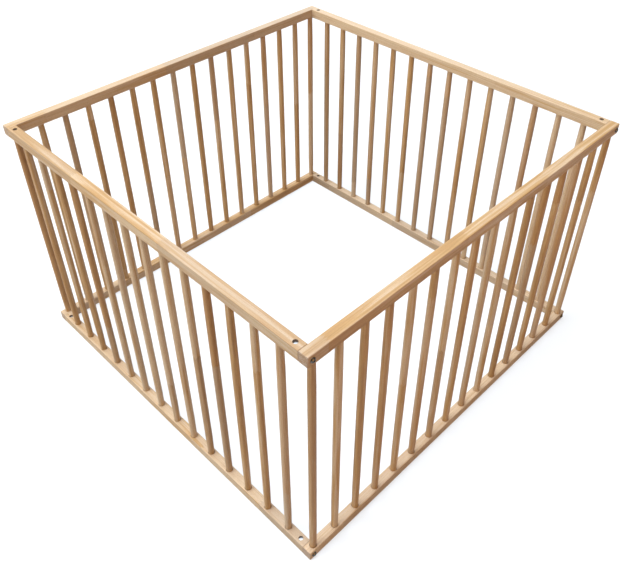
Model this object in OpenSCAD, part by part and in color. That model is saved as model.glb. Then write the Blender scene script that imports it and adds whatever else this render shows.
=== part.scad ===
// Square wooden playpen: four barred panels bolted together at the corners.
//
// The left and right panels run the full depth of the pen ("through" panels).
// The front and back panels fit between them ("between" panels). At each corner
// a button-head bolt goes through the through rail, into the end of the between
// rail and into a barrel nut that sits upright in that rail.
// X is left to right, Y is front to back, Z is up. The origin is on the floor,
// at the centre of the pen. All sizes are in millimetres.

/* [Playpen] */
// Outside width and depth of the square pen, measured over the rails
pen_size = 1000; // [900:10:1200]
// Height from the floor to the top of the top rails
pen_height = 625; // [600:5:760]

/* [Rails] */
// Thickness of a rail, from its outer face to its inner face
rail_width = 22; // [18:1:26]
// Height of a rail
rail_height = 25; // [24:1:36]
// Radius of the rounded long edges of a rail
rail_edge_radius = 1.5; // [0.5:0.5:2]

/* [Spindles] */
// Diameter of a round spindle
spindle_diameter = 16; // [14:1:17]
// How far a spindle end goes into a rail
socket_depth = 8; // [5:0.5:8]
// Number of spindles in each through panel
through_spindle_count = 16; // [13:1:18]
// Distance from a through rail's end to the centre of its first spindle
through_spindle_inset = 19; // [17:0.5:22]
// Number of spindles in each between panel
between_spindle_count = 14; // [11:1:16]
// Distance from a between rail's end to the centre of its first spindle
between_spindle_inset = 55; // [48:0.5:66]

/* [Corner bolts] */
// Diameter of the bolt's shank
bolt_diameter = 6; // [5:0.5:6]
// Length of the bolt under its head
bolt_length = 45; // [42:1:50]
// Diameter of the domed head
head_diameter = 12; // [10.5:0.5:13]
// Height of the domed head
head_height = 3.5; // [2.5:0.1:4]
// Diameter of the flat on top of the dome
head_flat_diameter = 6.5; // [5.5:0.1:7]
// Height of the straight edge below the dome
head_rim_height = 0.4; // [0.2:0.1:0.8]
// Width of the hexagon socket, across its flats
hexagon_width = 4; // [3:0.5:4]
// Depth of the hexagon socket
hexagon_depth = 2; // [1:0.1:2.2]

/* [Barrel nuts] */
// Diameter of a barrel nut
nut_diameter = 10; // [8:0.5:11]
// Length of a barrel nut
nut_length = 13; // [10:1:15]
// Distance from a between rail's end to the middle of its barrel nut
nut_inset = 17; // [14:0.5:18]
// Width of the screwdriver slot across the nut's upper end
slot_width = 1.4; // [1:0.1:2]
// Depth of the screwdriver slot
slot_depth = 1.2; // [0.8:0.1:1.6]

/* [Clearances] */
// Gap all round a spindle end in its socket, which the glue fills
glue_gap = 0.1; // [0.05:0.05:0.2]
// Gap all round a bolt in the wood
bolt_gap = 0.25; // [0.1:0.05:0.5]
// Gap all round a bolt in its barrel nut
thread_gap = 0.05; // [0.02:0.01:0.1]
// Gap all round a barrel nut in its hole
nut_gap = 0.1; // [0.05:0.05:0.3]
// Free depth past the bolt's tip
tip_gap = 3; // [1:0.5:5]

/* [Hidden] */
$fn = 64;
half_size = pen_size / 2;
half_width = rail_width / 2;
between_rail_length = pen_size - 2 * rail_width;
rail_line = half_size - half_width;
top_rail_z = pen_height - rail_height;

through_pitch = (pen_size - 2 * through_spindle_inset) / (through_spindle_count - 1);
between_pitch = (between_rail_length - 2 * between_spindle_inset) / (between_spindle_count - 1);
spindle_bottom_z = rail_height - socket_depth;
spindle_length = top_rail_z - rail_height + 2 * socket_depth;

bolt_z = rail_height / 2;
bolt_hole_diameter = bolt_diameter + 2 * bolt_gap;
bolt_hole_length = bolt_length - rail_width + tip_gap;
nut_hole_diameter = nut_diameter + 2 * nut_gap;
nut_x = between_rail_length / 2 - nut_inset;
nut_bottom_z = bolt_z - nut_length / 2;
thread_hole_diameter = bolt_diameter + 2 * thread_gap;

// The dome is part of a ball that meets the rim and the flat of the head.
rim_r = head_diameter / 2;
flat_r = head_flat_diameter / 2;
dome_drop = (rim_r * rim_r - flat_r * flat_r + head_rim_height * head_rim_height
    - head_height * head_height) / (2 * (head_height - head_rim_height));
dome_r = sqrt(flat_r * flat_r + pow(head_height + dome_drop, 2));

// A cut runs this far past a face, so that it leaves no skin.
past = 1;

// Which side of the pen a piece is on: [name, X side, Y side]
CORNERS = [
    ["front_left", -1, -1],
    ["front_right", 1, -1],
    ["back_left", -1, 1],
    ["back_right", 1, 1]
];
// The two heights at which there are rails: [name, bottom of the rail, spindle socket's floor]
LEVELS = [
    ["bottom", 0, rail_height - socket_depth],
    ["top", top_rail_z, -past]
];
// Panels: [name, side along its own axis]
THROUGH_PANELS = [["left", -1], ["right", 1]];
BETWEEN_PANELS = [["front", -1], ["back", 1]];

through_spindle_places = [
    for (i = [0 : through_spindle_count - 1]) -half_size + through_spindle_inset + i * through_pitch
];
between_spindle_places = [
    for (i = [0 : between_spindle_count - 1])
        -between_rail_length / 2 + between_spindle_inset + i * between_pitch
];

// Section of a rail: a rectangle with rounded corners, standing on the X axis.
module rail_section() {
    r = rail_edge_radius;
    translate([-half_width + r, 0]) square([rail_width - 2 * r, rail_height]);
    translate([-half_width, r]) square([rail_width, rail_height - 2 * r]);
    for (x = [-half_width + r, half_width - r], y = [r, rail_height - r])
        translate([x, y]) circle(r);
}

// A plain rail along X, centred on the origin, standing on Z = 0.
module rail_blank(length) {
    rotate([90, 0, 90])
        linear_extrude(length, center = true) rail_section();
}

// The row of round sockets that the spindle ends go into, along X.
module spindle_sockets(places, socket_z) {
    for (x = places)
        translate([x, 0, socket_z])
            cylinder(d = spindle_diameter + 2 * glue_gap, h = socket_depth + past);
}

// A rail of the left or right panel. A bolt hole crosses it near each end.
module through_rail(side, level) {
    color("burlywood")
    translate([side * rail_line, 0, level[1]])
    rotate([0, 0, 90])
    difference() {
        rail_blank(pen_size);
        spindle_sockets(through_spindle_places, level[2]);
        for (end = [-1, 1])
            translate([end * rail_line, 0, bolt_z])
                rotate([90, 0, 0])
                    cylinder(d = bolt_hole_diameter, h = rail_width + 2 * past, center = true);
    }
}

// A rail of the front or back panel. Each end has a hole for the bolt, along the
// rail, and an upright hole for the barrel nut that is open at the top.
module between_rail(side, level) {
    color("burlywood")
    translate([0, side * rail_line, level[1]])
    difference() {
        rail_blank(between_rail_length);
        spindle_sockets(between_spindle_places, level[2]);
        for (end = [-1, 1]) {
            translate([end * nut_x, 0, nut_bottom_z])
                cylinder(d = nut_hole_diameter, h = rail_height);
            translate([end * (between_rail_length / 2 + past), 0, bolt_z])
                rotate([0, -90 * end, 0])
                    cylinder(d = bolt_hole_diameter, h = bolt_hole_length + past);
        }
    }
}

// One row of round spindles along X, each glued into a bottom and a top rail.
module spindle_row(places) {
    color("tan")
    for (x = places)
        translate([x, 0, spindle_bottom_z])
            cylinder(d = spindle_diameter, h = spindle_length);
}

module through_spindles(side) {
    translate([side * rail_line, 0, 0])
        rotate([0, 0, 90]) spindle_row(through_spindle_places);
}

module between_spindles(side) {
    translate([0, side * rail_line, 0]) spindle_row(between_spindle_places);
}

// Button-head bolt along X: its head is outside the rail, its shank points inwards.
module corner_bolt(corner, level) {
    color("silver")
    translate([corner[1] * half_size, corner[2] * rail_line, level[1] + bolt_z])
    rotate([0, 90 * corner[1], 0])
    difference() {
        union() {
            intersection() {
                translate([0, 0, -dome_drop]) sphere(dome_r);
                cylinder(d = head_diameter, h = head_height);
            }
            translate([0, 0, -bolt_length]) cylinder(d = bolt_diameter, h = bolt_length + head_rim_height);
        }
        translate([0, 0, head_height - hexagon_depth])
            cylinder(d = hexagon_width / cos(30), h = hexagon_depth + past, $fn = 6);
    }
}

// Upright barrel nut: a steel cylinder with a cross hole for the bolt. The slot in
// its upper end runs the same way as the hole, so that it can be turned into line.
module barrel_nut(corner, level) {
    color("gainsboro")
    translate([corner[1] * nut_x, corner[2] * rail_line, level[1] + nut_bottom_z])
    difference() {
        cylinder(d = nut_diameter, h = nut_length);
        translate([0, 0, nut_length / 2])
            rotate([0, 90, 0])
                cylinder(d = thread_hole_diameter, h = nut_diameter + 2 * past, center = true);
        translate([-nut_diameter / 2 - past, -slot_width / 2, nut_length - slot_depth])
            cube([nut_diameter + 2 * past, slot_width, slot_depth + past]);
    }
}

for (level = LEVELS) {
    for (panel = THROUGH_PANELS)
        through_rail(panel[1], level);
    for (panel = BETWEEN_PANELS)
        between_rail(panel[1], level);
    for (corner = CORNERS) {
        corner_bolt(corner, level);
        barrel_nut(corner, level);
    }
}
for (panel = THROUGH_PANELS)
    through_spindles(panel[1]);
for (panel = BETWEEN_PANELS)
    between_spindles(panel[1]);
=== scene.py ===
# %% [markdown]
# # A square playpen in solid beech
#
# The pen has four panels. Each panel is a row of round spindles between a bottom
# rail and a top rail. The left and right panels run the full depth of the pen, and
# the front and back panels fit between them. Eight bolts with domed heads hold the
# corners together, and each one screws into an upright barrel nut.
#
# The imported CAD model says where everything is. This script reads those places and
# builds the visible pieces on them: eased edges, real sockets, threads and wood grain.
# All lengths are in metres.

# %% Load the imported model
import math
import random

import bmesh
import bpy
from mathutils import Matrix, Vector


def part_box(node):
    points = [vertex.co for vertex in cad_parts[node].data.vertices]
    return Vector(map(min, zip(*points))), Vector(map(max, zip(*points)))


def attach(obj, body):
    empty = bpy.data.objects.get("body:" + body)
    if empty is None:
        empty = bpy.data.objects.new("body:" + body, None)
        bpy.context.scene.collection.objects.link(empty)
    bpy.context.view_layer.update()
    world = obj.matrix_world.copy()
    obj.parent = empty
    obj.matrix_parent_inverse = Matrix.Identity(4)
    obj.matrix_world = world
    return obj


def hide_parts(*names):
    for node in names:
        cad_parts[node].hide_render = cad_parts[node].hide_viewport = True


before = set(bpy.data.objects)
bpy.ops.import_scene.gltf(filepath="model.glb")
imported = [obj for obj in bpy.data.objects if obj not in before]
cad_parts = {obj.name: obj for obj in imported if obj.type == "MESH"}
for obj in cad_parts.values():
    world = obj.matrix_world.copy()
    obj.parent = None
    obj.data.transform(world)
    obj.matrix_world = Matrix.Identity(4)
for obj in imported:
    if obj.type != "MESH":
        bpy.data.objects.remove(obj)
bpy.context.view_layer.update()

# %% [markdown]
# ## Sizes
#
# A size that a CAD piece's box gives is measured and isn't typed again. A rail gives
# the section of all rails, a barrel nut gives the depth of its hole, a bolt gives its
# head's width, and a row of spindles gives their thickness, length and spacing.

# %% Measure the CAD model
MM = 0.001
PANELS = ("left", "right", "front", "back")
LEVELS = ("bottom", "top")
CORNERS = ("front_left", "front_right", "back_left", "back_right")
SPINDLE_COUNT = {"left": 16, "right": 16, "front": 14, "back": 14}
# The axis along which a panel's rails run: 0 is X and 1 is Y.
RUN_AXIS = {"left": 1, "right": 1, "front": 0, "back": 0}


def centre_and_size(node):
    """The middle and the size of a CAD node's box."""
    low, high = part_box(node)
    return (low + high) / 2, high - low


_, rail_size = centre_and_size("front_bottom_rail")
rail_thickness = rail_size.y
rail_height = rail_size.z
_, row_size = centre_and_size("left_spindles")
spindle_diameter = row_size.x
spindle_radius = spindle_diameter / 2
spindle_length = row_size.z
socket_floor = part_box("left_spindles")[0].z
socket_depth = rail_height - socket_floor
nut_centre, nut_size = centre_and_size("front_right_top_barrel_nut")
bolt_centre, bolt_size = centre_and_size("front_right_top_bolt")
print("Rail section:", rail_thickness, "x", rail_height)
print("Spindles:", spindle_diameter, "thick,", spindle_length, "long, sockets", socket_depth)

# %% [markdown]
# ## Camera
#
# The camera looks down into the pen over its front right corner. A small lens shift
# moves the frame, as a view camera does, so that the pen fills it without the camera
# being tipped any further. Depth of field stays off.

# %% Place the camera
CAMERA_PLACE = (1.0447, -1.0248, 1.4792)
CAMERA_AZIMUTH = math.radians(45.37)
CAMERA_DOWNWARDS = math.radians(39.126)
CAMERA_ROLL = math.radians(-0.305)
CAMERA_LENS = 41.777
CAMERA_SHIFT = (0.0031, -0.0737)
CAMERA_NEAREST = 0.05


def add_camera():
    """A camera turned by azimuth about Z, tipped down from level, then rolled."""
    data = bpy.data.cameras.new("camera")
    data.lens = CAMERA_LENS
    data.shift_x, data.shift_y = CAMERA_SHIFT
    data.clip_start = CAMERA_NEAREST
    camera = bpy.data.objects.new("camera", data)
    bpy.context.scene.collection.objects.link(camera)
    turn = Matrix.Rotation(CAMERA_AZIMUTH, 4, "Z")
    tip = Matrix.Rotation(math.pi / 2 - CAMERA_DOWNWARDS, 4, "X")
    roll = Matrix.Rotation(CAMERA_ROLL, 4, "Z")
    camera.matrix_world = Matrix.Translation(CAMERA_PLACE) @ turn @ tip @ roll
    bpy.context.scene.camera = camera
    return camera


add_camera()
print("Camera at", CAMERA_PLACE, "with a", CAMERA_LENS, "mm lens")

# %% [markdown]
# ## Writing shader maths as Python
#
# A wood pattern needs a lot of sums. Wiring each Math node by hand hides what the sum
# is, so a small class stands for one socket and gives it Python's own operators: an
# expression such as `1 - mask * 0.4` then adds the nodes that work it out. Every other
# kind of node comes from one method, `Finish.node`.

# %% The socket class
def feed(tree, target, value):
    """Puts a value, or a link from another node, into an input."""
    if isinstance(value, Wire):
        tree.links.new(value.socket, target)
    else:
        target.default_value = value


class Wire:
    """A number, vector or colour that comes out of a node."""

    def __init__(self, tree, socket):
        self.tree = tree
        self.socket = socket

    def math(self, operation, *values):
        node = self.tree.nodes.new("ShaderNodeMath")
        node.operation = operation
        for target, value in zip(node.inputs, values):
            feed(self.tree, target, value)
        return Wire(self.tree, node.outputs[0])

    def __add__(self, other):
        return self.math("ADD", self, other)

    def __radd__(self, other):
        return self.math("ADD", other, self)

    def __sub__(self, other):
        return self.math("SUBTRACT", self, other)

    def __rsub__(self, other):
        return self.math("SUBTRACT", other, self)

    def __mul__(self, other):
        return self.math("MULTIPLY", self, other)

    def __rmul__(self, other):
        return self.math("MULTIPLY", other, self)

    def __truediv__(self, other):
        return self.math("DIVIDE", self, other)

    def __pow__(self, other):
        return self.math("POWER", self, other)

    def fraction(self):
        return self.math("FRACT", self)

    def triangle(self):
        """Goes up and down between 0 and 1 as this number goes through 0 to 2."""
        return self.math("PINGPONG", self, 1.0)

    def above(self, edge):
        return self.math("GREATER_THAN", self, edge)

    def centred(self):
        """A pattern that runs from 0 to 1, moved to run from -0.5 to 0.5."""
        return self - 0.5


print("Sockets have operators")

# %% The material builder
class Finish:
    """A material while it is being built."""

    def __init__(self, name):
        self.material = bpy.data.materials.new(name)
        self.material.use_nodes = True
        self.tree = self.material.node_tree
        self.tree.nodes.clear()

    def node(self, kind, settings=None, inputs=None, output=0):
        """Adds a node, sets it up, feeds its inputs and gives one of its outputs."""
        made = self.tree.nodes.new(kind)
        for name, value in (settings or {}).items():
            setattr(made, name, value)
        for name, value in (inputs or {}).items():
            feed(self.tree, made.inputs[name], value)
        return Wire(self.tree, made.outputs[output]) if made.outputs else None

    def attribute(self, name, output="Vector"):
        return self.node("ShaderNodeAttribute", {"attribute_name": name}, output=output)

    def parts(self, vector):
        """The three numbers of a vector."""
        split = self.node("ShaderNodeSeparateXYZ", inputs={"Vector": vector})
        return [Wire(self.tree, socket) for socket in split.socket.node.outputs]

    def vector(self, x, y, z):
        return self.node("ShaderNodeCombineXYZ", inputs={"X": x, "Y": y, "Z": z})

    def noise(self, place, detail=2.0, roughness=0.5):
        return self.node(
            "ShaderNodeTexNoise",
            inputs={"Vector": place, "Scale": 1.0, "Detail": detail, "Roughness": roughness},
        )

    def step_up(self, value, low, high):
        """0 below low, 1 above high and a soft step between them."""
        settings = {"interpolation_type": "SMOOTHSTEP"}
        inputs = {"Value": value, "From Min": low, "From Max": high}
        return self.node("ShaderNodeMapRange", settings, inputs)

    def mix(self, amount, first, second, blend="MIX"):
        """A colour between two colours. The Mix node's colour sockets are its last ones."""
        made = self.node("ShaderNodeMix", {"data_type": "RGBA", "blend_type": blend}).socket.node
        for place, value in ((0, amount), (6, first), (7, second)):
            feed(self.tree, made.inputs[place], value)
        return Wire(self.tree, made.outputs[2])

    def bump(self, height, distance):
        inputs = {"Height": height, "Distance": distance, "Strength": 1.0}
        return self.node("ShaderNodeBump", inputs=inputs)

    def finish(self, **inputs):
        """Ends the material with a Principled shader and these inputs."""
        names = {name.replace("_", " "): value for name, value in inputs.items()}
        shader = self.node("ShaderNodeBsdfPrincipled", inputs=names)
        self.node("ShaderNodeOutputMaterial", inputs={"Surface": shader})
        return self.material


print("Shader helpers are ready")

# %% [markdown]
# ## Beech
#
# Beech is a pale, slightly pink wood. Three things make it look like beech and not just
# like brown wood: faint growth rings, short dark flecks that lie along the grain, and
# very little contrast. The rails and spindles are also glued up from shorter lengths, so
# one piece often changes shade at a finger joint.
#
# The pattern is a solid one: it is worked out through the thickness of the wood, so it
# runs round corners and into holes, as it does when a piece is sawn from a board. Each
# piece carries its own coordinates in an attribute, `grain_place`. X runs along the
# grain, and Y and Z across it, in metres, moved by a different amount on each piece.
# `piece_shade` makes one piece lighter or darker than the next, `end_grain` is 1 on sawn
# ends and `drilled` is 1 on the walls of holes.

# %% Colours of the beech
def from_screen(red, green, blue):
    """A colour as a screen shows it, from 0 to 255, in linear light by the sRGB curve."""
    levels = [level / 255 for level in (red, green, blue)]
    linear = [v / 12.92 if v <= 0.04045 else ((v + 0.055) / 1.055) ** 2.4 for v in levels]
    return (*linear, 1.0)


PALE_BEECH = from_screen(221, 194, 161)
WARM_BEECH = from_screen(201, 159, 106)
DEEP_BEECH = from_screen(174, 133, 83)
RED_BEECH = from_screen(172, 117, 65)
GREY_BEECH = from_screen(186, 165, 144)
FLECK_BROWN = from_screen(136, 92, 62)
# Painted shade for the walls of holes.
HOLE_SHADE_BROWN = from_screen(84, 56, 36)
# A sawn end is multiplied by this: a little darker and bluer than the long sides.
END_TINT = (0.84, 0.86, 1.0, 1.0)
print("Pale beech in linear light:", [round(level, 3) for level in PALE_BEECH[:3]])

# %% Sizes of the beech pattern
# How far apart the growth rings are, and how far from the piece their pith is.
RING_SPACING = 2.6 * MM
PITH_OFFSET = (31 * MM, 22 * MM)
# The part of a year's growth over which the pale early wood turns dark.
LATE_WOOD = (0.35, 0.97)
# The width of the band in which the grain wanders sideways.
WANDER = 20 * MM
# The length and width of each pattern's waves or cells.
DRIFT_SIZE = (1 / 2.4, 1 / 6)
BAND_SIZE = (1 / 5, 1 / 160)
FIBRE_SIZE = (110 * MM, 0.9 * MM)
FLECK_SIZE = (3.4 * MM, 0.75 * MM)
PORE_SIZE = (1 / 300, 0.5 * MM)
# A fleck's radius and soft edge, as shares of a cell, and the share of empty cells.
FLECK_RADIUS = 0.40
FLECK_EDGE = 0.16
EMPTY_CELLS = 0.42
# The teeth of a finger joint, and where the glue line beside its middle fades.
FINGER_LENGTH = 9 * MM
FINGER_PITCH = 6.4 * MM
GLUE_LINE = (0.05 * MM, 0.35 * MM)


# %% Grain, rings, fibres and flecks
def stretched(wood, grain, size):
    """Coordinates for a pattern whose waves have this length and width."""
    along, across, through = grain
    length, width = size
    return wood.vector(along / length, across / width, through / width)


def growth_rings(wood, grain, drift):
    """Rings round the pith: pale early wood, then a thin darker line."""
    _, across, through = grain
    ring_y = across + drift[0].centred() * WANDER - PITH_OFFSET[0]
    ring_z = through + drift[1].centred() * WANDER - PITH_OFFSET[1]
    distance = (ring_y * ring_y + ring_z * ring_z) ** 0.5
    return wood.step_up((distance / RING_SPACING).fraction(), *LATE_WOOD)


def flecks_in(wood, grain):
    """One short dark spindle shape in about half of the cells of a stretched grid."""
    place = stretched(wood, grain, FLECK_SIZE)
    cell = wood.node("ShaderNodeTexVoronoi", inputs={"Vector": place, "Scale": 1.0})
    cell_chance = wood.parts(Wire(wood.tree, cell.socket.node.outputs["Color"]))[0]
    return wood.step_up(FLECK_RADIUS - cell, 0.0, FLECK_EDGE) * cell_chance.above(EMPTY_CELLS)


# %% Lengths glued end to end
def boards_in(wood, grain, board_length):
    """Three random numbers for each glued-up length, and the glue line between them."""
    along, across, _ = grain
    tooth = (across / (FINGER_PITCH / 2)).triangle() * FINGER_LENGTH
    inputs = {"W": (along + tooth) / board_length, "Scale": 1.0}
    cells = {"voronoi_dimensions": "1D"}
    board = wood.node("ShaderNodeTexVoronoi", cells, inputs, output="Color")
    edges = {"voronoi_dimensions": "1D", "feature": "DISTANCE_TO_EDGE"}
    edge = wood.node("ShaderNodeTexVoronoi", edges, inputs)
    return wood.parts(board), 1 - wood.step_up(edge * board_length, *GLUE_LINE)


# %% Strengths of the beech pattern
# How far each kind of variation moves a spot from pale towards warm beech.
PIECE_SWING = 1.1
BOARD_SWING = 1.0
DRIFT_SWING = 2.0
BAND_SWING = 4.0
# The shades over which pale turns to warm, and warm to deep.
WARM_STEP = (0.0, 1.0)
DEEP_STEP = (0.8, 1.9)
# The random numbers over which a length turns red or grey. Drift moves the red ones.
RED_STEP_END = 1.15
RED_DRIFT = 0.5
GREY_STEP = (0.55, 1.0)
# The heights of the noise over which streaks and pores show.
STREAK_STEP = (0.42, 0.72)
PORE_STEP = (0.45, 0.7)
# How much of its colour each feature lays over the wood where it is strongest.
TINTS = {"red": 0.65, "grey": 0.55, "ring": 0.30, "streak": 0.50, "fleck": 0.34, "glue": 0.35}
END_TINTS = {"pore": 0.35, "ring": 0.25}
# How strongly the walls of holes are painted with shade.
HOLE_SHADE_TINT = 0.8
# What stands proud or lies deep in the surface, and the height of the whole relief.
RELIEF = {"fibre": 0.6, "fleck": 0.25, "glue": 0.4, "ring": 0.12}
RELIEF_HEIGHT = 0.12 * MM
# Roughness of planed beech, and what fibres and sawn ends add and flecks take away.
PLANED_ROUGHNESS = 0.36
ROUGHNESS = {"fibre": 0.18, "end": 0.12, "fleck": 0.05}


# %% The beech material
def beech(name, board_length, shade_shift, red_share):
    """Beech for pieces glued up from lengths of about board_length."""
    wood = Finish(name)
    grain = wood.parts(wood.attribute("grain_place"))
    piece_shade = wood.attribute("piece_shade", "Fac")
    end_grain = wood.attribute("end_grain", "Fac")
    drift_inputs = {"Vector": stretched(wood, grain, DRIFT_SIZE), "Scale": 1.0}
    drift = wood.parts(wood.node("ShaderNodeTexNoise", inputs=drift_inputs, output="Color"))
    drift_shade = drift[2].centred()
    ring = growth_rings(wood, grain, drift)
    fibre = wood.noise(stretched(wood, grain, FIBRE_SIZE), detail=4.0, roughness=0.62)
    band = wood.noise(stretched(wood, grain, BAND_SIZE))
    fleck = flecks_in(wood, grain)
    (board_shade, board_red, board_grey), glue_line = boards_in(wood, grain, board_length)

    # From pale to warm to deep beech.
    shade = (
        piece_shade.centred() * PIECE_SWING
        + board_shade.centred() * BOARD_SWING
        + drift_shade * DRIFT_SWING
        + band.centred() * BAND_SWING
        + shade_shift
    )
    colour = wood.mix(wood.step_up(shade, *WARM_STEP), PALE_BEECH, WARM_BEECH)
    colour = wood.mix(wood.step_up(shade, *DEEP_STEP), colour, DEEP_BEECH)

    # Red and grey lengths, then the fine lines.
    redness = board_red + drift_shade * RED_DRIFT
    reddish = wood.step_up(redness, 1 - red_share, RED_STEP_END)
    greyish = wood.step_up(board_grey, *GREY_STEP)
    streak = wood.step_up(fibre, *STREAK_STEP)
    colour = wood.mix(reddish * TINTS["red"], colour, RED_BEECH)
    colour = wood.mix(greyish * TINTS["grey"], colour, GREY_BEECH)
    colour = wood.mix(ring * TINTS["ring"], colour, WARM_BEECH)
    colour = wood.mix(streak * TINTS["streak"], colour, RED_BEECH)
    colour = wood.mix(fleck * (1 - end_grain) * TINTS["fleck"], colour, FLECK_BROWN)
    colour = wood.mix(glue_line * TINTS["glue"], colour, FLECK_BROWN)

    # A sawn end takes up more dirt and oil: darker, greyer, with clearer rings and pores.
    pore_noise = wood.noise(stretched(wood, grain, PORE_SIZE), detail=3.0, roughness=0.7)
    pores = wood.step_up(pore_noise, *PORE_STEP)
    end_colour = wood.mix(1.0, colour, END_TINT, blend="MULTIPLY")
    end_marks = pores * END_TINTS["pore"] + ring * END_TINTS["ring"]
    end_colour = wood.mix(end_marks, end_colour, FLECK_BROWN)
    colour = wood.mix(end_grain, colour, end_colour)

    # The walls of drilled holes, and the thin gap round each spindle end, get painted shade: a dark
    # brown for the shade in these recesses.
    colour = wood.mix(wood.attribute("drilled", "Fac") * HOLE_SHADE_TINT, colour, HOLE_SHADE_BROWN)

    high = fibre * RELIEF["fibre"] + ring * RELIEF["ring"]
    deep = fleck * RELIEF["fleck"] + glue_line * RELIEF["glue"]
    rough = PLANED_ROUGHNESS + fibre * ROUGHNESS["fibre"] + end_grain * ROUGHNESS["end"]
    return wood.finish(
        Base_Color=colour,
        Roughness=rough - fleck * ROUGHNESS["fleck"],
        Normal=wood.bump(high - deep, RELIEF_HEIGHT),
    )


RAIL_BEECH = beech("rail_beech", board_length=0.34, shade_shift=0.35, red_share=0.15)
SPINDLE_BEECH = beech("spindle_beech", board_length=0.55, shade_shift=0.56, red_share=0.50)
print("Beech:", RAIL_BEECH.name, "and", SPINDLE_BEECH.name)

# %% [markdown]
# ## Steel
#
# The bolts' steel has a dark colour that is painted shade. It stands in for the dark
# surroundings that their polished heads reflect. The barrel nuts are satin zinc,
# which is almost white. No metal surface is perfect, so both have dull patches and fine
# turning marks, which are rings round the axis of the piece. They come from
# `turned_place`, an attribute that holds a point's place from the piece's own middle,
# with Z along the axis that it was turned on.

# %% The metal material
PATCHES_PER_METRE = 450.0
PATCH_STEP = (0.45, 0.75)
PATCH_ROUGHNESS = 0.16
MARK_ROUGHNESS = 0.12
MARK_HEIGHT = 0.02 * MM


def turned_metal(name, colour, dull_colour, roughness, mark_spacing):
    """A metal that was turned on a lathe, with dull patches of a second colour."""
    metal = Finish(name)
    x, y, z = metal.parts(metal.attribute("turned_place"))
    radius = (x * x + y * y) ** 0.5
    marks = metal.noise(metal.vector(radius / mark_spacing, z / mark_spacing, 0.0))
    patch_place = metal.vector(*(part * PATCHES_PER_METRE for part in (x, y, z)))
    patch = metal.noise(patch_place, detail=3.0, roughness=0.6)
    dull = metal.step_up(patch, *PATCH_STEP)
    return metal.finish(
        Base_Color=metal.mix(dull, colour, dull_colour),
        Metallic=1.0,
        Roughness=roughness + dull * PATCH_ROUGHNESS + marks.centred() * MARK_ROUGHNESS,
        Normal=metal.bump(marks, MARK_HEIGHT),
    )


# The bolt steel's dark colour is painted shade, for the dark surroundings that the heads reflect.
BOLT_STEEL = turned_metal(
    "bolt_steel",
    colour=from_screen(138, 131, 123),
    dull_colour=from_screen(60, 54, 50),
    roughness=0.17,
    mark_spacing=0.25 * MM,
)
NUT_ZINC = turned_metal(
    "nut_zinc",
    colour=from_screen(248, 248, 246),
    dull_colour=from_screen(228, 228, 224),
    roughness=0.58,
    mark_spacing=0.3 * MM,
)
print("Metals:", BOLT_STEEL.name, "and", NUT_ZINC.name)

# %% [markdown]
# ## Helpers for meshes
#
# Every piece is built in its own easy axes first and then moved to its place in the
# mesh, so that its object stays at the origin. The wood coordinates are written while
# the mesh is still in its own axes.

# %% Mesh helpers
chance = random.Random(29)
# Faces that meet at more than this angle, in degrees, keep a crisp line between them.
CRISP_ANGLE = 35


def new_object(name, mesh):
    made = bpy.data.objects.new(name, mesh)
    bpy.context.scene.collection.objects.link(made)
    return made


def baked(thing, name):
    """A plain mesh object of what an object looks like with its modifiers on."""
    evaluated = thing.evaluated_get(bpy.context.evaluated_depsgraph_get())
    mesh = bpy.data.meshes.new_from_object(evaluated)
    old_mesh = thing.data
    bpy.data.objects.remove(thing)
    if old_mesh.users == 0:
        bpy.data.meshes.remove(old_mesh)
    mesh.name = name
    return new_object(name, mesh)


def write_places(mesh, name, shift):
    """Stores where each point of a mesh is, moved by shift."""
    layer = mesh.attributes.new(name, "FLOAT_VECTOR", "POINT")
    places = [value for point in mesh.vertices for value in point.co + shift]
    layer.data.foreach_set("vector", places)


def smooth_below(mesh, degrees):
    """Smooth shading, but with a crisp line where faces meet at more than this angle."""
    mesh.polygons.foreach_set("use_smooth", [True] * len(mesh.polygons))
    mesh.set_sharp_from_angle(angle=math.radians(degrees))


def join_rings(builder, rings):
    """Faces between each ring of points and the next, which has as many points."""
    for first, second in zip(rings, rings[1:]):
        for i in range(len(first)):
            j = (i + 1) % len(first)
            builder.faces.new((first[i], first[j], second[j], second[i]))


def mesh_from(builder, name):
    """Turns a bmesh into a mesh and frees it."""
    mesh = bpy.data.meshes.new(name)
    builder.to_mesh(mesh)
    builder.free()
    return mesh


print("Mesh helpers are ready")

# %% [markdown]
# ## Rails
#
# A rail is a planed bar. Its long edges are rounded, its sawn ends are eased a little,
# and it is drilled: a blind socket for each spindle, a hole for each bolt and, in the
# front and back rails, an upright hole for each barrel nut. The bar is made ring by
# ring from its section, and the holes are cut with the Boolean modifier, as a drill
# would. The cutters run a little past the wood, so that they leave no skin.

# %% Sizes of the rails
EDGE_RADIUS = 1.5 * MM
EDGE_STEPS = 5
END_EASE = 0.7 * MM
# The glue's thickness round a spindle end, and the free depth past a bolt's tip.
GLUE_GAP = 0.1 * MM
BOLT_TIP_GAP = 3 * MM
BOLT_HOLE_RADIUS = 3.25 * MM
NUT_HOLE_RADIUS = 5.1 * MM
HOLE_SIDES = 40
# How far a cutter runs past the wood.
PAST = 2 * MM
# How far apart the rails lie in the beech pattern, along the grain and across it.
BOARD_SPREAD = (20.0, 0.02, 0.02)
# How warm each rail is: 0 is the palest beech and 1 the warmest.
RAIL_SHADE = {
    "left": {"bottom": 0.45, "top": 0.20},
    "right": {"bottom": 0.15, "top": 0.55},
    "front": {"bottom": 0.05, "top": 0.75},
    "back": {"bottom": 0.10, "top": 0.05},
}


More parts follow.
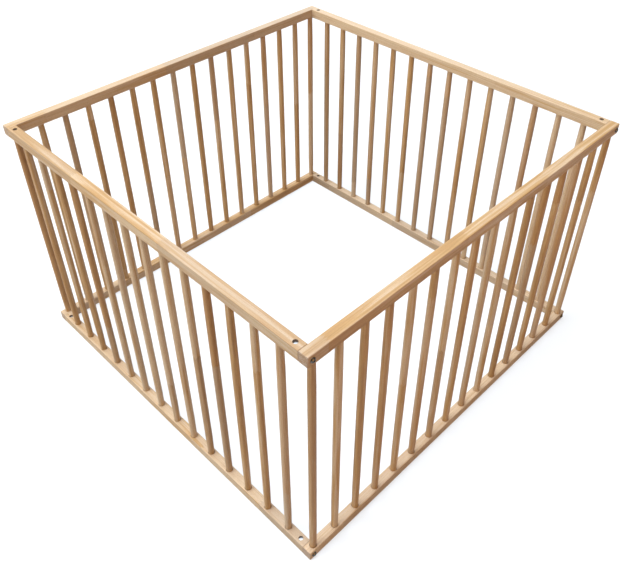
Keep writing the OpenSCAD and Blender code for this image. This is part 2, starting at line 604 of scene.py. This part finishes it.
# %% The planed bar
def bar_section(shrink):
    """Points round a rail's section, in the bar's own Y and Z, shrunk by an ease."""
    half_y = rail_thickness / 2 - shrink
    half_z = rail_height / 2 - shrink
    centres = ((half_y, half_z), (-half_y, half_z), (-half_y, -half_z), (half_y, -half_z))
    points = []
    for quarter, (y, z) in enumerate(centres):
        centre_y = y - math.copysign(EDGE_RADIUS, y)
        centre_z = z - math.copysign(EDGE_RADIUS, z)
        for step in range(EDGE_STEPS + 1):
            angle = (quarter + step / EDGE_STEPS) * math.pi / 2
            points.append((
                centre_y + EDGE_RADIUS * math.cos(angle),
                centre_z + EDGE_RADIUS * math.sin(angle),
            ))
    return points


def planed_bar(name, length):
    """A bar along X, centred on the origin, with rounded edges and eased ends."""
    builder = bmesh.new()
    half = length / 2
    stations = ((-half, END_EASE), (-half + END_EASE, 0), (half - END_EASE, 0), (half, END_EASE))
    rings = [
        [builder.verts.new((x, y, z)) for y, z in bar_section(shrink)] for x, shrink in stations
    ]
    join_rings(builder, rings)
    builder.faces.new(rings[0])
    builder.faces.new(rings[-1])
    bmesh.ops.recalc_face_normals(builder, faces=builder.faces)
    return new_object(name, mesh_from(builder, name))


print("A rail's section has", len(bar_section(0)), "points")

# %% Drilling
def cutter(name, rods):
    """Closed rods in one object. Each has a radius, a length and a matrix for its foot."""
    builder = bmesh.new()
    for radius, length, foot in rods:
        bmesh.ops.create_cone(
            builder,
            cap_ends=True,
            segments=HOLE_SIDES,
            radius1=radius,
            radius2=radius,
            depth=length,
            matrix=foot @ Matrix.Translation((0, 0, length / 2)),
        )
    bmesh.ops.recalc_face_normals(builder, faces=builder.faces)
    return new_object(name, mesh_from(builder, name))


def drilled(bar, name, *cutters):
    """The bar with each cutter taken away, one after the other."""
    for tool in cutters:
        cut = bar.modifiers.new("drill", "BOOLEAN")
        cut.operation = "DIFFERENCE"
        cut.solver = "EXACT"
        cut.object = tool
    made = baked(bar, name)
    for tool in cutters:
        mesh = tool.data
        bpy.data.objects.remove(tool)
        bpy.data.meshes.remove(mesh)
    return made


# %% Where the holes are
def socket_rods(places, level):
    """Sockets from the side of the rail that faces the spindles."""
    half = rail_height / 2
    start = half - socket_depth if level == "bottom" else -half - PAST
    return [
        (spindle_radius + GLUE_GAP, socket_depth + PAST, Matrix.Translation((x, 0, start)))
        for x in places
    ]


def spindle_places(panel):
    """Where a panel's spindles stand along its rails, from the middle of the panel."""
    length = centre_and_size(panel + "_spindles")[1][RUN_AXIS[panel]] - spindle_diameter
    count = SPINDLE_COUNT[panel]
    return [length * (i / (count - 1) - 0.5) for i in range(count)]


def through_rail_rods(half_length):
    """Bolt holes right through a left or right rail, near its ends."""
    sideways = Matrix.Rotation(math.pi / 2, 4, "X")
    hole_x = half_length - rail_thickness / 2
    start_y = rail_thickness / 2 + PAST
    return [
        (
            BOLT_HOLE_RADIUS,
            rail_thickness + 2 * PAST,
            Matrix.Translation((end * hole_x, start_y, 0)) @ sideways,
        )
        for end in (-1, 1)
    ]


def between_rail_rods(half_length):
    """Upright nut holes in a front or back rail, and a bolt hole in from each end."""
    bolt_tip = abs(bolt_centre.x) - bolt_size.x / 2
    depth = half_length - bolt_tip + BOLT_TIP_GAP
    upright = []
    lengthways = []
    for end in (-1, 1):
        foot = Matrix.Translation((end * abs(nut_centre.x), 0, -nut_size.z / 2))
        upright.append((NUT_HOLE_RADIUS, rail_height, foot))
        inwards = Matrix.Rotation(-end * math.pi / 2, 4, "Y")
        start = Matrix.Translation((end * (half_length + PAST), 0, 0))
        lengthways.append((BOLT_HOLE_RADIUS, depth + PAST, start @ inwards))
    return upright, lengthways


print("The left panel's first spindle is at", spindle_places("left")[0])

# %% What the wood needs to know about a rail
# A face is sawn if it turns this much towards the end and lies this close to it.
SAWN_TURN = 0.6
SAWN_REACH = 2 * MM
# A face is the wall of a hole if it lies at least this deep in the rail.
WALL_DEPTH = 0.6 * MM


def write_flags(mesh, name, flags):
    """Stores 1 for each face that has the flag and 0 for the others."""
    layer = mesh.attributes.new(name, "FLOAT", "FACE")
    layer.data.foreach_set("value", [1.0 if flag else 0.0 for flag in flags])


def write_wood(mesh, shift, shade, size):
    """Wood attributes for a bar of this size whose length runs along its own X axis."""
    write_places(mesh, "grain_place", shift)
    layer = mesh.attributes.new("piece_shade", "FLOAT", "POINT")
    layer.data.foreach_set("value", [shade] * len(mesh.vertices))
    sawn = []
    wall = []
    for face in mesh.polygons:
        depths = [side / 2 - abs(place) for side, place in zip(size, face.center)]
        sawn.append(abs(face.normal.x) > SAWN_TURN and depths[0] < SAWN_REACH)
        wall.append(min(depths) > WALL_DEPTH)
    write_flags(mesh, "end_grain", sawn)
    write_flags(mesh, "drilled", wall)


# %% Build the rails
def build_rail(panel, level):
    node = f"{panel}_{level}_rail"
    centre, size = centre_and_size(node)
    axis = RUN_AXIS[panel]
    half_length = size[axis] / 2
    bar = planed_bar(node + "_bar", size[axis])
    sockets = socket_rods(spindle_places(panel), level)
    if axis == 1:
        tools = [cutter("sockets", sockets + through_rail_rods(half_length))]
    else:
        upright, lengthways = between_rail_rods(half_length)
        tools = [cutter("sockets", sockets + upright), cutter("bolt_holes", lengthways)]
    rail = drilled(bar, node + "_beech", *tools)
    shift = Vector([chance.uniform(-1, 1) * spread for spread in BOARD_SPREAD])
    bar_size = (size[axis], rail_thickness, rail_height)
    write_wood(rail.data, shift, RAIL_SHADE[panel][level], bar_size)
    smooth_below(rail.data, CRISP_ANGLE)
    turn = Matrix.Rotation(math.pi / 2 if axis == 1 else 0, 4, "Z")
    rail.data.transform(Matrix.Translation(centre) @ turn)
    even = rail.modifiers.new("even_shading", "WEIGHTED_NORMAL")
    even.keep_sharp = True
    rail = baked(rail, node + "_beech")
    rail.data.materials.clear()
    rail.data.materials.append(RAIL_BEECH)
    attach(rail, "frame")
    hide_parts(node)
    return rail


for panel in PANELS:
    for level in LEVELS:
        rail = build_rail(panel, level)
        print(rail.name, len(rail.data.polygons), "faces")

# %% [markdown]
# ## Spindles
#
# Sixty spindles stand in four rows, and all are the same dowel. That is work for
# Geometry Nodes: one dowel is swept up a line, set on every point of a row and turned
# by a random amount. Its shade and the place in the wood that it is cut from are also
# random, from a fixed seed, and are stored as attributes before the copies are made
# real, because the material reads them.

# %% A small builder for the spindle tree
class Tree:
    """A Geometry Nodes tree while it is being built."""

    def __init__(self, name, inputs):
        self.group = bpy.data.node_groups.new(name, "GeometryNodeTree")
        self.sockets = {}
        for label, kind in inputs:
            socket = self.group.interface.new_socket(label, in_out="INPUT", socket_type=kind)
            self.sockets[label] = socket.identifier
        self.group.interface.new_socket("Geometry", in_out="OUTPUT", socket_type="NodeSocketGeometry")
        self.start = self.group.nodes.new("NodeGroupInput")

    def input(self, label):
        return self.start.outputs[label]

    def add(self, kind, settings=None, inputs=None, output=0):
        """Adds a node and gives one of its outputs."""
        made = self.group.nodes.new(kind)
        for name, value in (settings or {}).items():
            setattr(made, name, value)
        for name, value in (inputs or {}).items():
            if isinstance(value, bpy.types.NodeSocket):
                self.group.links.new(value, made.inputs[name])
            else:
                made.inputs[name].default_value = value
        return made.outputs[output]

    def store(self, geometry, name, kind, domain, value):
        """Stores a named attribute on a geometry."""
        settings = {"data_type": kind, "domain": domain}
        inputs = {"Geometry": geometry, "Name": name, "Value": value}
        return self.add("GeometryNodeStoreNamedAttribute", settings, inputs)

    def end(self, geometry):
        finish = self.group.nodes.new("NodeGroupOutput")
        self.group.links.new(geometry, finish.inputs[0])


# %% The dowel
DOWEL_SIDES = 28
DOWEL_STATIONS = 9


def dowel_in(tree):
    """A line of points with a circle swept along it, a little smaller at both ends."""
    tip = tree.add("ShaderNodeCombineXYZ", inputs={"Z": tree.input("Length")})
    spine = tree.add("GeometryNodeCurvePrimitiveLine", inputs={"End": tip})
    stations = {"Curve": spine, "Count": DOWEL_STATIONS}
    spine = tree.add("GeometryNodeResampleCurve", inputs=stations)
    ends = {"Start Size": 1, "End Size": 1}
    is_end = tree.add("GeometryNodeCurveEndpointSelection", inputs=ends)
    full = tree.input("Radius")
    ease = {0: full, 1: tree.input("End Ease")}
    eased = tree.add("ShaderNodeMath", {"operation": "SUBTRACT"}, ease)
    choice = {"Switch": is_end, "False": full, "True": eased}
    girth = tree.add("GeometryNodeSwitch", {"input_type": "FLOAT"}, choice)
    spine = tree.add("GeometryNodeSetCurveRadius", inputs={"Curve": spine, "Radius": girth})
    ring = {"Resolution": DOWEL_SIDES, "Radius": 1.0}
    circle = tree.add("GeometryNodeCurvePrimitiveCircle", inputs=ring)
    radius = tree.add("GeometryNodeInputRadius")
    sweep = {"Curve": spine, "Profile Curve": circle, "Scale": radius, "Fill Caps": True}
    return tree.add("GeometryNodeCurveToMesh", inputs=sweep)


# %% The row
# How far apart the dowels lie in the beech pattern, along the grain and across it.
DOWEL_RUN = 40.0
DOWEL_SPREAD = 0.02
VECTORS = {"data_type": "FLOAT_VECTOR"}


def row_in(tree, dowel):
    """One dowel on each point of the row, turned about its own axis."""
    line = {
        "Count": tree.input("Count"),
        "Start Location": tree.input("First Foot"),
        "Offset": tree.input("Step"),
    }
    row = tree.add("GeometryNodeMeshLine", {"mode": "OFFSET"}, line)
    full_turn = {"Max": (0.0, 0.0, 2 * math.pi), "Seed": tree.input("Seed")}
    turn = tree.add("FunctionNodeRandomValue", VECTORS, full_turn)
    placed = {"Points": row, "Instance": dowel, "Rotation": turn}
    return tree.add("GeometryNodeInstanceOnPoints", inputs=placed)


def tagged(tree, copies):
    """Stores each dowel's shade, its foot and its place in the beech pattern."""
    # A Random Value node has one set of sockets for each kind; the floats come after vectors.
    shade = tree.add("FunctionNodeRandomValue", {"data_type": "FLOAT"}, output=1)
    tree.group.links.new(tree.input("Palest"), shade.node.inputs[2])
    tree.group.links.new(tree.input("Warmest"), shade.node.inputs[3])
    tree.group.links.new(tree.input("Seed"), shade.node.inputs["Seed"])
    copies = tree.store(copies, "piece_shade", "FLOAT", "INSTANCE", shade)
    foot = tree.add("GeometryNodeInputPosition")
    copies = tree.store(copies, "foot", "FLOAT_VECTOR", "INSTANCE", foot)
    reach = {
        "Min": (0.0, -DOWEL_SPREAD, -DOWEL_SPREAD),
        "Max": (DOWEL_RUN, DOWEL_SPREAD, DOWEL_SPREAD),
        "Seed": tree.input("Seed"),
    }
    board = tree.add("FunctionNodeRandomValue", VECTORS, reach)
    return tree.store(copies, "board", "FLOAT_VECTOR", "INSTANCE", board)


def with_grain(tree, real):
    """Stores the wood coordinates of real dowels: along the grain is up the dowel."""
    place = tree.add("GeometryNodeInputPosition")
    foot = tree.add("GeometryNodeInputNamedAttribute", VECTORS, {"Name": "foot"})
    board = tree.add("GeometryNodeInputNamedAttribute", VECTORS, {"Name": "board"})
    local = tree.add("ShaderNodeVectorMath", {"operation": "SUBTRACT"}, {0: place, 1: foot})
    x, y, z = tree.add("ShaderNodeSeparateXYZ", inputs={"Vector": local}).node.outputs
    grain = tree.add("ShaderNodeCombineXYZ", inputs={"X": z, "Y": x, "Z": y})
    grain = tree.add("ShaderNodeVectorMath", {"operation": "ADD"}, {0: grain, 1: board})
    return tree.store(real, "grain_place", "FLOAT_VECTOR", "POINT", grain)


# %% The tree for a row of spindles
def spindle_row_tree():
    tree = Tree("spindle_row", (
        ("Count", "NodeSocketInt"),
        ("First Foot", "NodeSocketVector"),
        ("Step", "NodeSocketVector"),
        ("Radius", "NodeSocketFloat"),
        ("Length", "NodeSocketFloat"),
        ("End Ease", "NodeSocketFloat"),
        ("Palest", "NodeSocketFloat"),
        ("Warmest", "NodeSocketFloat"),
        ("Seed", "NodeSocketInt"),
        ("Wood", "NodeSocketMaterial"),
    ))
    copies = tagged(tree, row_in(tree, dowel_in(tree)))
    real = tree.add("GeometryNodeRealizeInstances", inputs={"Geometry": copies})
    skin = {"Geometry": with_grain(tree, real), "Shade Smooth": True}
    smooth = tree.add("GeometryNodeSetShadeSmooth", inputs=skin)
    wooden = {"Geometry": smooth, "Material": tree.input("Wood")}
    tree.end(tree.add("GeometryNodeSetMaterial", inputs=wooden))
    return tree


SPINDLE_TREE = spindle_row_tree()
print("Spindle tree:", len(SPINDLE_TREE.group.nodes), "nodes")

# %% Build the four rows
SPINDLE_END_EASE = 0.8 * MM
# The palest and the warmest shade in each row, on the scale of the rails' shades.
SPINDLE_SHADES = {
    "left": (0.2, 1.1),
    "right": (0.4, 1.5),
    "front": (0.0, 1.1),
    "back": (-0.1, 0.9),
}


def build_spindles(panel, seed):
    node = panel + "_spindles"
    low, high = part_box(node)
    axis = RUN_AXIS[panel]
    first = Vector((low.x + spindle_radius, low.y + spindle_radius, low.z))
    step = Vector((0, 0, 0))
    step[axis] = (high[axis] - low[axis] - spindle_diameter) / (SPINDLE_COUNT[panel] - 1)
    holder = new_object(node + "_row", bpy.data.meshes.new(node + "_row"))
    modifier = holder.modifiers.new("row", "NODES")
    modifier.node_group = SPINDLE_TREE.group
    settings = {
        "Count": SPINDLE_COUNT[panel],
        "First Foot": first,
        "Step": step,
        "Radius": spindle_radius,
        "Length": spindle_length,
        "End Ease": SPINDLE_END_EASE,
        "Palest": SPINDLE_SHADES[panel][0],
        "Warmest": SPINDLE_SHADES[panel][1],
        "Seed": seed,
        "Wood": SPINDLE_BEECH,
    }
    for label, value in settings.items():
        modifier[SPINDLE_TREE.sockets[label]] = value
    spindles = baked(holder, node + "_beech")
    smooth_below(spindles.data, CRISP_ANGLE)
    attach(spindles, "frame")
    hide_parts(node)
    return spindles


for seed, panel in enumerate(PANELS, start=11):
    spindles = build_spindles(panel, seed)
    print(spindles.name, len(spindles.data.polygons), "faces")

# %% [markdown]
# ## Bolts
#
# A button-head bolt: a low dome with a hexagon socket, a plain neck, and a thread that
# ends in a chamfer. Head and neck are turned shapes, so they are made as rings of
# points round an axis. The socket's rings lie on a hexagon, with its six corners on
# points of the ring. The thread is cut by drawing the radius in and out as the
# angle and the height change together, which gives one continuous helix.

# %% Sizes of a bolt
BOLT_SIDES = 48
BOLT_SHANK_RADIUS = 3 * MM
BOLT_HEAD_RADIUS = bolt_size.y / 2
BOLT_LENGTH = 45 * MM
BOLT_HEAD_HEIGHT = bolt_size.x - BOLT_LENGTH
HEAD_FLAT_RADIUS = 3.25 * MM
HEAD_RIM = 0.4 * MM
HEAD_EDGE = 0.15 * MM
DOME_STEPS = 8
SOCKET_HALF_WIDTH = 2 * MM
SOCKET_DEPTH = 2 * MM
SOCKET_EDGE = 0.12 * MM
# The drilled point at the bottom of the socket.
POINT_RADIUS = 0.4 * MM
POINT_DEPTH = 0.35 * MM
THREAD_PITCH = 1 * MM
THREAD_DEPTH = 0.55 * MM
THREAD_LENGTH = 26 * MM
THREAD_SAMPLES = 6
THREAD_SIDES = 24
TIP_LENGTH = 1.2 * MM
TIP_TAPER = 0.9 * MM
# The shank is a touch thinner than its nominal size, as a rolled thread is.
SHANK_RADIUS = BOLT_SHANK_RADIUS - 0.02 * MM
THREAD_CRISP_ANGLE = 32
print("Head:", 2 * BOLT_HEAD_RADIUS, "across,", BOLT_HEAD_HEIGHT, "high")


# %% Turned shapes
def ring_of(builder, sides, radius_at, height):
    """A ring of points. radius_at gives the radius for an angle."""
    points = []
    for i in range(sides):
        angle = 2 * math.pi * i / sides
        radius = radius_at(angle)
        points.append(builder.verts.new((radius * math.cos(angle), radius * math.sin(angle), height)))
    return points


def circle(radius):
    """The same radius at every angle."""
    return lambda angle: radius


def hexagon(half_width):
    """The radius of a hexagon at an angle, with a corner at angle 0."""
    sixth = math.pi / 3
    return lambda angle: half_width / math.cos((angle % sixth) - sixth / 2)


def dome_stations():
    """Radius and height of the head, from under its edge over the dome to its flat top."""
    rim, flat = BOLT_HEAD_RADIUS, HEAD_FLAT_RADIUS
    low, high = HEAD_RIM, BOLT_HEAD_HEIGHT
    drop = (rim**2 - flat**2 + low**2 - high**2) / (2 * (high - low))
    ball = math.hypot(flat, high + drop)
    stations = [(BOLT_SHANK_RADIUS, 0), (rim - HEAD_EDGE, 0), (rim, HEAD_EDGE)]
    for step in range(DOME_STEPS + 1):
        height = low + (high - low) * math.sin(math.pi / 2 * step / DOME_STEPS)
        stations.append((math.sqrt(ball**2 - (height + drop) ** 2), height))
    return stations


def thread_radius(height):
    """The radius of the threaded shank at an angle, for a height below the head."""
    tip = -BOLT_LENGTH
    chamfer = min(1.0, (height - tip) / TIP_LENGTH)
    run_out = min(1.0, max(0.0, (tip + THREAD_LENGTH - height) / THREAD_PITCH))

    def radius(angle):
        phase = (height / THREAD_PITCH - angle / (2 * math.pi)) % 1.0
        groove = abs(2 * phase - 1) * THREAD_DEPTH * run_out
        return min(SHANK_RADIUS - (1 - chamfer) * TIP_TAPER, SHANK_RADIUS - groove)

    return radius


# %% One bolt, with its axis along Z and its head upwards
def head_rings(builder):
    """From under the head over its dome and down into its hexagon socket."""
    socket_floor_height = BOLT_HEAD_HEIGHT - SOCKET_DEPTH
    stations = [(circle(radius), height) for radius, height in dome_stations()]
    stations += [
        (hexagon(SOCKET_HALF_WIDTH + SOCKET_EDGE), BOLT_HEAD_HEIGHT),
        (hexagon(SOCKET_HALF_WIDTH), BOLT_HEAD_HEIGHT - SOCKET_EDGE),
        (hexagon(SOCKET_HALF_WIDTH), socket_floor_height),
        (circle(POINT_RADIUS), socket_floor_height - POINT_DEPTH),
    ]
    return [ring_of(builder, BOLT_SIDES, outline, height) for outline, height in stations]


def shank_rings(builder):
    """The plain neck, then the thread down to the tip."""
    steps = int(THREAD_LENGTH / THREAD_PITCH * THREAD_SAMPLES)
    rings = [ring_of(builder, THREAD_SIDES, circle(SHANK_RADIUS), 0)]
    for step in range(steps + 1):
        height = THREAD_LENGTH - BOLT_LENGTH - THREAD_LENGTH * step / steps
        rings.append(ring_of(builder, THREAD_SIDES, thread_radius(height), height))
    return rings


def bolt_mesh():
    builder = bmesh.new()
    head = head_rings(builder)
    join_rings(builder, head)
    builder.faces.new(head[-1])
    shank = shank_rings(builder)
    join_rings(builder, shank)
    builder.faces.new(shank[-1])
    builder.faces.new(shank[0])
    bmesh.ops.recalc_face_normals(builder, faces=builder.faces)
    mesh = mesh_from(builder, "bolt")
    smooth_below(mesh, THREAD_CRISP_ANGLE)
    write_places(mesh, "turned_place", Vector((0, 0, 0)))
    mesh.materials.append(BOLT_STEEL)
    return mesh


# %% Put a bolt in each corner
def build_bolt(pattern, corner, level):
    node = f"{corner}_{level}_bolt"
    low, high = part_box(node)
    side = 1 if low.x > 0 else -1
    face_x = (high.x if side > 0 else low.x) - side * BOLT_HEAD_HEIGHT
    place = Matrix.Translation((face_x, (low.y + high.y) / 2, (low.z + high.z) / 2))
    outwards = Matrix.Rotation(side * math.pi / 2, 4, "Y")
    turned = Matrix.Rotation(chance.uniform(0, math.pi / 3), 4, "Z")
    mesh = pattern.copy()
    mesh.transform(place @ outwards @ turned)
    bolt = new_object(node + "_steel", mesh)
    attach(bolt, node)
    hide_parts(node)
    return bolt


bolt_pattern = bolt_mesh()
for corner in CORNERS:
    for level in LEVELS:
        build_bolt(bolt_pattern, corner, level)
print("Bolts:", len(CORNERS) * len(LEVELS), "of", len(bolt_pattern.polygons), "faces each")
bpy.data.meshes.remove(bolt_pattern)

# %% [markdown]
# ## Barrel nuts
#
# The barrel nut is a short steel rod with a cross hole and a screwdriver slot. The CAD
# shape is right but has razor edges, so a copy of it is merged into one skin, its flat
# faces are made whole, and its edges are broken with the Bevel modifier.

# %% Build the barrel nuts
NUT_EDGE = 0.35 * MM
NUT_EDGE_STEPS = 2
# An edge is broken where its faces meet at more than this angle, in degrees.
BROKEN_ANGLE = 40
# Faces that turn by less than this angle are one flat face.
FLAT_ANGLE = 1
MERGE_DISTANCE = 0.001 * MM


def build_nut(corner, level):
    node = f"{corner}_{level}_barrel_nut"
    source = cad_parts[node]
    centre, _ = centre_and_size(node)
    builder = bmesh.new()
    builder.from_mesh(source.data)
    bmesh.ops.remove_doubles(builder, verts=builder.verts, dist=MERGE_DISTANCE)
    flat = math.radians(FLAT_ANGLE)
    bmesh.ops.dissolve_limit(
        builder, angle_limit=flat, verts=builder.verts, edges=builder.edges
    )
    nut = new_object(node, mesh_from(builder, node))
    bevel = nut.modifiers.new("broken_edges", "BEVEL")
    bevel.width = NUT_EDGE
    bevel.segments = NUT_EDGE_STEPS
    bevel.limit_method = "ANGLE"
    bevel.angle_limit = math.radians(BROKEN_ANGLE)
    nut = baked(nut, node + "_zinc")
    smooth_below(nut.data, CRISP_ANGLE)
    write_places(nut.data, "turned_place", -centre)
    nut.data.materials.clear()
    nut.data.materials.append(NUT_ZINC)
    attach(nut, "frame")
    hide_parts(node)
    return nut


for corner in CORNERS:
    for level in LEVELS:
        nut = build_nut(corner, level)
print("Barrel nuts:", len(nut.data.polygons), "faces each")

# %% [markdown]
# ## Floor and light
#
# The pen stands on a plain white studio floor. The main light is wide and soft and
# hangs high above, so the tops of the rails are brightest. A light to the front left
# makes the sides that face the front next, and the sides that face right are darkest,
# with only a weak warm fill. A weak light from behind on the left lifts the inner faces.
#
# White paper under a pen would throw light back up at it. Here the floor gets most of
# its white from a glow that light linking keeps to the floor itself, so the spindles
# keep their modelling and the shadows on the floor stay thin. The glow grows with
# distance, where the lights no longer reach, so the floor has no visible end.

# %% The floor
FLOOR_HALF = 12.0
FLOOR_GAP = 0.3 * MM
FLOOR_GREY = 0.20
# The paper is up to this much lighter in soft clouds.
FLOOR_CLOUDS = 1.08
FLOOR_ROUGHNESS = 0.9
# The glow near the pen and far from it, and the distances over which it grows.
NEAR_GLOW = 0.66
FAR_GLOW = 0.96
GLOW_GROWS = (1.2, 6.0)


def grey(level):
    """A neutral colour in linear light."""
    return (level, level, level, 1.0)


def floor_paper():
    floor = Finish("floor_white")
    place = floor.node("ShaderNodeTexCoord", output="Object")
    x, y, _ = floor.parts(place)
    far = floor.step_up((x * x + y * y) ** 0.5, *GLOW_GROWS)
    lighter = grey(FLOOR_GREY * FLOOR_CLOUDS)
    return floor.finish(
        Base_Color=floor.mix(floor.noise(place), grey(FLOOR_GREY), lighter),
        Roughness=FLOOR_ROUGHNESS,
        Emission_Color=floor.mix(far, grey(NEAR_GLOW), grey(FAR_GLOW)),
        Emission_Strength=1.0,
    )


def add_floor():
    """A square just under the pen. Its glow lights nothing but itself."""
    mesh = bpy.data.meshes.new("floor")
    quarters = ((-1, -1), (1, -1), (1, 1), (-1, 1))
    corners = [(x * FLOOR_HALF, y * FLOOR_HALF, -FLOOR_GAP) for x, y in quarters]
    mesh.from_pydata(corners, [], [(0, 1, 2, 3)])
    mesh.materials.append(floor_paper())
    made = new_object("floor", mesh)
    lit_by_glow = bpy.data.collections.new("lit_by_floor_glow")
    lit_by_glow.objects.link(made)
    made.light_linking.receiver_collection = lit_by_glow
    return made


floor = add_floor()
print("Floor:", floor.dimensions.x, "wide")

# %% The lights
PEN_MIDDLE = Vector((0.0, 0.0, 0.3))
# The name, place, width, power and colour of each light.
LIGHTS = (
    ("top_light", (-0.7, -0.9, 7.5), 4.0, 550, (0.95, 1.10, 1.29)),
    ("front_light", (-1.8, -4.0, 2.2), 2.4, 118, (1.0, 0.99, 0.89)),
    ("warm_fill", (4.2, -0.6, 1.6), 3.0, 47, (1.0, 0.49, 0.12)),
    ("back_light", (-3.2, 2.9, 2.8), 3.5, 48, (0.98, 1.0, 1.02)),
)


def add_soft_light(name, place, width, power, colour):
    """A square area light that points at the middle of the pen."""
    data = bpy.data.lights.new(name, "AREA")
    data.shape = "SQUARE"
    data.size = width
    data.energy = power
    data.color = colour
    light = bpy.data.objects.new(name, data)
    bpy.context.scene.collection.objects.link(light)
    light.location = place
    light.rotation_euler = (PEN_MIDDLE - Vector(place)).to_track_quat("-Z", "Y").to_euler()
    return light


for light_settings in LIGHTS:
    light = add_soft_light(*light_settings)
    print(light.name, "at", tuple(light.location))

# %% The surroundings
SURROUNDINGS_LIGHT = 0.19
SURROUNDINGS_COLOUR = (1.0, 0.90, 0.68, 1.0)
SURROUNDINGS_SEEN = 0.98


def add_surroundings():
    """Dim all-round light on the pen, but white where the camera looks past the floor."""
    world = bpy.data.worlds.new("studio")
    world.use_nodes = True
    tree = world.node_tree
    tree.nodes.clear()
    light, seen, mixed = [
        tree.nodes.new(kind)
        for kind in ("ShaderNodeBackground", "ShaderNodeBackground", "ShaderNodeMixShader")
    ]
    light.inputs["Color"].default_value = SURROUNDINGS_COLOUR
    light.inputs["Strength"].default_value = SURROUNDINGS_LIGHT
    seen.inputs["Color"].default_value = grey(1.0)
    seen.inputs["Strength"].default_value = SURROUNDINGS_SEEN
    rays = tree.nodes.new("ShaderNodeLightPath")
    output = tree.nodes.new("ShaderNodeOutputWorld")
    tree.links.new(rays.outputs["Is Camera Ray"], mixed.inputs[0])
    tree.links.new(light.outputs[0], mixed.inputs[1])
    tree.links.new(seen.outputs[0], mixed.inputs[2])
    tree.links.new(mixed.outputs[0], output.inputs["Surface"])
    bpy.context.scene.world = world


add_surroundings()
bpy.context.scene.view_settings.view_transform = "Standard"
bpy.context.scene.view_settings.look = "None"
print("Surroundings:", bpy.context.scene.world.name)
